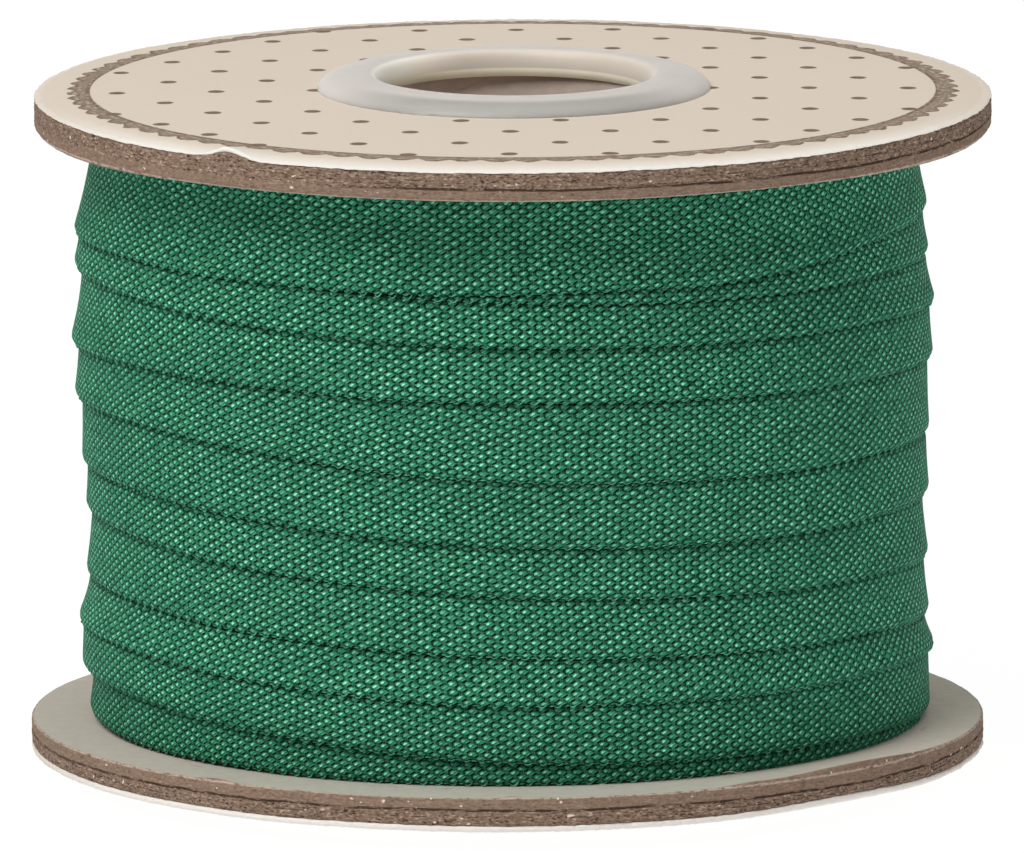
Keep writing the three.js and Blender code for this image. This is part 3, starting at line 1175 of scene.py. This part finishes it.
def paper_material(look, shift):
    """Cream paper with brown dots, a mottled ring with a ragged outer side, and a white torn edge."""
    material, wire, shader = new_material("printed_paper", {"Roughness": 0.72, "Specular IOR Level": 0.25})
    spot = wire.spot()
    x, y, _ = spot.parts()
    x = x - shift
    radius = (x * x + y * y) ** 0.5
    grain = spot.noise(2200, 3.0, 0.6)
    spread = (spot.noise(1500, 2.0) - 0.5) * (0.30 * MM)
    # Dots, from the two steps of their lattice
    area = DOT_STEP[0] * DOT_ROW[1] - DOT_STEP[1] * DOT_ROW[0]
    dx = x * (1 / MM) - DOT_START[0]
    dy = y * (1 / MM) - DOT_START[1]
    first = dx * (DOT_ROW[1] / area) - dy * (DOT_ROW[0] / area)
    second = dy * (DOT_STEP[0] / area) - dx * (DOT_STEP[1] / area)
    first = first - first.rounded()
    second = second - second.rounded()
    off_x = first * DOT_STEP[0] + second * DOT_ROW[0]
    off_y = first * DOT_STEP[1] + second * DOT_ROW[1]
    away = (off_x * off_x + off_y * off_y) ** 0.5 * MM + spread * 0.5
    dots = away.rise(look.dot_radius + 0.07 * MM, look.dot_radius - 0.07 * MM)
    dots = dots * radius.rise(look.ring_outer, look.ring_outer - 0.3 * MM)
    # The ring: a fine dark line inside, a mottled band, and teeth outside
    turn = wire.math("ARCTAN2", y, x)
    wave = turn * TEETH
    tooth = abs(wire.math("SINE", wave * 0.5)) * (0.55 * MM) - 0.32 * MM
    patch = spot.noise(900, 3.0, 0.7)
    outer = look.ring_outer + tooth + (patch - 0.5) * (0.7 * MM)
    inner = look.ring_inner
    band = radius.rise(inner - 0.04 * MM, inner + 0.04 * MM) * (outer - radius).rise(0, 0.12 * MM)
    strokes = wire.joined(turn * (29 * MM), radius * 2.4).noise(1500, 2.0, 0.6)
    inner_line = (radius - inner).rise(0.45 * MM, 0.1 * MM)
    lines = (outer - radius).rise(0.50 * MM, 0.15 * MM).most(inner_line)
    mottle = (strokes.rise(0.34, 0.52) * 0.34 + lines * 0.14 + 0.46).limited()
    line = abs(radius + spread * 0.3 - (inner + 0.06 * MM)).rise(0.16 * MM, 0.05 * MM)
    front_half = y.rise(2 * MM, -10 * MM)
    print_mask = (band * mottle).most(line * front_half * strokes.rise(0.34, 0.46) * 0.7).most(dots * 0.92)
    print_mask = (print_mask * (grain * 0.5 + 0.78)).limited()
    paper = (grain * 0.6 + spot.noise(60, 2.0) * 0.4).tint(*shades(look.paper, 0.95, 1.05))
    base = print_mask.tint(paper, look.ink)
    ragged = radius + (spot.noise(700, 4.0, 0.7) - 0.5) * (0.7 * MM)
    torn = ragged.rise(31.25 * MM, 31.80 * MM)
    # Painted highlight: the rolled rim is painted paler towards the front, where it turns to the light; the
    # torn edge is white paper
    rolled = ragged.rise(29.9 * MM, 31.7 * MM) * y.rise(-4 * MM, -22 * MM)
    base = (rolled * 0.7 + torn * 0.3).tint(base, look.torn)
    fuzz = spot.scaled(1, 1, 2).noise(3000, 4.0, 0.7)
    height = torn.blend(grain * 0.12, fuzz)
    finish_material(wire, shader, base, None, height, 0.10 * MM)
    return material


def paper_section(board_edge, rim_level, level, seed, shift, up):
    """The paper's section, from rules for the board's rim, the paper's own rim and its face inside."""

    def section(angle):
        turn = math.radians(angle)
        offset = shift * math.cos(turn)
        hidden, shown = board_edge(angle), rim_level(angle)
        torn = 0.07 * rough_round(seed, angle, 20)
        torn += 0.05 * rough_round(seed + 1, angle, 70)
        torn += 0.05 * rough_round(seed + 2, angle, 200)
        rim = PAPER_RADIUS + offset + torn * MM
        ragged = (0.05 * rough_round(seed + 4, angle, 60)) * MM
        fuzz = (0.04 * rough_round(seed + 5, angle, 150)) * MM
        thick = shown - hidden
        points = [(rim - 0.5 * MM, hidden + thick * 0.1), (rim - 0.02 * MM, hidden + ragged)]
        points.append((rim + 0.04 * MM, hidden + thick * 0.35 + ragged))
        points.append((rim, hidden + thick * 0.7 + fuzz))
        points.append((rim - 0.09 * MM, hidden + thick * 0.95 + fuzz))
        for place_out in PAPER_RADII:
            radius = place_out * MM
            roll = max(0.0, (radius - ROLL_START) / (FLANGE_RADIUS - ROLL_START)) ** 2.2
            z = level(radius, angle)
            points.append((radius + offset, z + (shown - z) * roll + fuzz * roll))
        for radius in (PAPER_HOLE, ROLL_START):
            points.append((radius + offset, level(radius, angle) - PAPER_THICKNESS * up))
        return points

    return section


class SPOOL_OT_paper(bpy.types.Operator):
    """Glues the printed paper on both flanges"""

    bl_idname = "spool.paper"
    bl_label = "Printed paper"

    def execute(self, context):
        look = context.scene.spool_paper
        section = paper_section(upper_top, upper_rim, upper_paper, 31, UPPER_SHIFT, 1)
        piece = turned("paper_top", section, RIM_COLUMNS, paper_material(look, UPPER_SHIFT))
        place(piece, "label_paper", "label_top")
        section = paper_section(lower_bottom, lower_rim, lower_paper, 41, 0, -1)
        piece = turned("paper_bottom", section, RIM_COLUMNS, paper_material(look, 0))
        place(piece, "label_paper", "label_bottom")
        return {"FINISHED"}


RING_PROFILE = (
    (9.75, -0.25),
    (12.8, -0.25),
    (13.05, 0.1),
    (13.15, 0.35),
    (13.17, 0.55),
    (13.08, 0.78),
    (12.88, 1.00),
    (12.55, 1.19),
    (12.1, 1.34),
    (11.55, 1.46),
    (10.9, 1.545),
    (10.3, 1.59),
    (9.90, 1.60),
    (9.62, 1.575),
    (9.42, 1.50),
    (9.28, 1.36),
    (9.14, 1.10),
    (9.03, 0.70),
    (8.97, 0.37),
    (8.96, 0.2),
    (9.02, -0.2),
)


def plastic_material(name, look, seat, up, shift):
    """Waxy plastic, a little cloudy, with the paper that lines the hole below its lip."""
    material, wire, shader = new_material(
        name,
        {
            "Roughness": 0.38,
            "Specular IOR Level": 0.45,
            "Subsurface Weight": 0.85,
            "Subsurface Radius": (1.0, 0.9, 0.8),
            "Subsurface Scale": 1.5 * MM,
        },
    )
    spot = wire.spot()
    x, y, z = spot.parts()
    x = x - shift
    cloud = spot.noise(260, 3.0)
    base = cloud.tint(*shades(look.plastic, 0.93, 1.05))
    radius = (x * x + y * y) ** 0.5
    above = (z - seat) * up
    inside = radius.rise(9.7 * MM, 9.6 * MM) * above.rise(0.44 * MM, 0.34 * MM)
    base = inside.tint(base, look.sleeve)
    # Painted light: the inner wall is painted paler, most on its left, for the light through the plastic.
    # Painted shade: the outer side is darker and cooler in front
    clear = radius.rise(9.7 * MM, 9.3 * MM) * (1 - inside)
    base = clear.tint(base, x.rise(-3 * MM, -8 * MM).tint((0.64, 0.58, 0.51), (0.98, 0.91, 0.81)))
    front_side_shade = radius.rise(11.1 * MM, 12.0 * MM) * y.rise(-4 * MM, -11 * MM) * 0.95
    base = front_side_shade.tint(base, look.side)
    scuffs = spot.noise(1500, 3.0)
    roughness = scuffs * 0.25 + 0.30
    height = cloud * 0.7 + scuffs * 0.1
    finish_material(wire, shader, base, roughness, height, 0.08 * MM)
    return material


def tube_material(look):
    material, wire, shader = new_material("tube_board", {"Roughness": 0.95, "Specular IOR Level": 0.15})
    spot = wire.spot()
    x, y, z = spot.parts()
    grain = spot.scaled(1, 1, 1.5).noise(900, 4.0, 0.6)
    turn = wire.math("ARCTAN2", y, x) / (2 * math.pi)
    winding = z / (26 * MM) + turn
    seam = abs(winding - winding.rounded()).rise(0.006, 0.002)
    spots = (grain - seam * 0.12).limited()
    pale = spots.tint(*shades(look.tube, 1.3, 1.95))
    base = spots.tint(*shades(look.tube, 0.6, 1.05))
    # Painted light: the tube is painted paler on its left
    base = x.rise(4 * MM, -7 * MM).tint(base, pale)
    finish_material(wire, shader, base, None, grain * 0.5 - seam * 0.3, 0.08 * MM)
    return material


class SPOOL_OT_rings(bpy.types.Operator):
    """Makes the plastic ring round each end of the hole, and the tube between them"""

    bl_idname = "spool.rings"
    bl_label = "Rings and tube"

    def execute(self, context):
        look = context.scene.spool_plastic
        for name, node, seat, up in (
            ("ring_top", "grommet_top", RING_SEAT, 1),
            ("ring_bottom", "grommet_bottom", RING_HEIGHT, -1),
        ):
            shift = RING_SHIFT if up > 0 else 0.0
            material = plastic_material("waxy_" + name, look, seat, up, shift)
            piece = turned(name, self.ring_section(seat, up, shift), RING_COLUMNS, material)
            place(piece, "ring_plastic", node)

        def tube_section(angle):
            inner = TUBE_INNER + 0.03 * MM * rough(51, 4 * math.cos(math.radians(angle)), angle / 40)
            low, high = LABEL_LEVEL * MM, RING_SEAT
            levels = [low + (high - low) * step / 12 for step in range(13)]
            return [(inner, z) for z in levels] + [(TUBE_OUTER, z) for z in reversed(levels)]

        place(turned("tube", tube_section, TUBE_COLUMNS, tube_material(look)), "tube_board", "core_tube")
        return {"FINISHED"}

    def ring_section(self, seat, up, shift):
        def section(angle):
            turn = math.radians(angle)
            wave = 0.03 * rough_round(61, angle, 1.5, up)
            jagged = rough_round(62, angle, 24, up)
            flash = 0.16 * max(0, jagged + 0.2) * (0.35 + hill(angle, 245, 30))
            points = []
            for radius, height in RING_PROFILE:
                out = flash if radius > 13 and height < 0.7 else 0
                x = shift * math.cos(turn)
                z = seat + (height + wave * (height > 0)) * MM * up
                points.append(((radius + out + wave * 0.6) * MM + x, z))
            return points

        return section


FIBRE_ANGLES = (252, 255, 262, 283, 224, 301, 40, 130, 345)


class SPOOL_OT_fibres(bpy.types.Operator):
    """Lays a few stray fibres along the foot of the winding"""

    bl_idname = "spool.fibres"
    bl_label = "Stray fibres"

    def execute(self, context):
        draw = random.Random(7)
        material, wire, shader = new_material("stray_fibre", {"Roughness": 0.8})
        spot = wire.spot()
        base = spot.noise(3000, 2.0).tint((0.35, 0.32, 0.27), (0.62, 0.60, 0.52))
        finish_material(wire, shader, base)
        paths = []
        for angle in FIBRE_ANGLES:
            reach = draw.uniform(1.0, 2.2)
            path = []
            for step in range(7):
                turn = math.radians(angle + (step - 3) / 6 * reach * 2)
                radius = 28.75 * MM + draw.uniform(-0.05, 0.22) * MM
                height = lower_top(angle) + (0.06 + 0.10 * math.sin(step)) * MM
                path.append(Vector((radius * math.cos(turn), radius * math.sin(turn), height)))
            paths.append(path)
        place(tubes("stray_fibres", paths, 0.022 * MM, 5, material), "ribbon")
        return {"FINISHED"}


class SPOOL_PT_panel(bpy.types.Panel):
    bl_idname = "SPOOL_PT_panel"
    bl_label = "Spool of ribbon"
    bl_space_type = "VIEW_3D"
    bl_region_type = "UI"
    bl_category = "Spool"

    def draw(self, context):
        for operator in OPERATORS:
            self.layout.operator(operator.bl_idname)


OPERATORS = (
    SPOOL_OT_stage,
    SPOOL_OT_ribbon,
    SPOOL_OT_boards,
    SPOOL_OT_paper,
    SPOOL_OT_rings,
    SPOOL_OT_fibres,
)
LOOKS = {
    "spool_ribbon": SpoolRibbonLook,
    "spool_board": SpoolBoardLook,
    "spool_paper": SpoolPaperLook,
    "spool_plastic": SpoolPlasticLook,
    "spool_stage": SpoolStageLook,
}


def register():
    for part in (*LOOKS.values(), *OPERATORS, SPOOL_PT_panel):
        bpy.utils.register_class(part)
    for name, look in LOOKS.items():
        setattr(bpy.types.Scene, name, bpy.props.PointerProperty(type=look))


def unregister():
    for name in LOOKS:
        delattr(bpy.types.Scene, name)
    for part in reversed((*LOOKS.values(), *OPERATORS, SPOOL_PT_panel)):
        bpy.utils.unregister_class(part)


def main():
    register()
    bpy.ops.spool.stage()
    bpy.ops.spool.ribbon()
    bpy.ops.spool.boards()
    bpy.ops.spool.paper()
    bpy.ops.spool.rings()
    bpy.ops.spool.fibres()


if __name__ == "__main__":
    main()
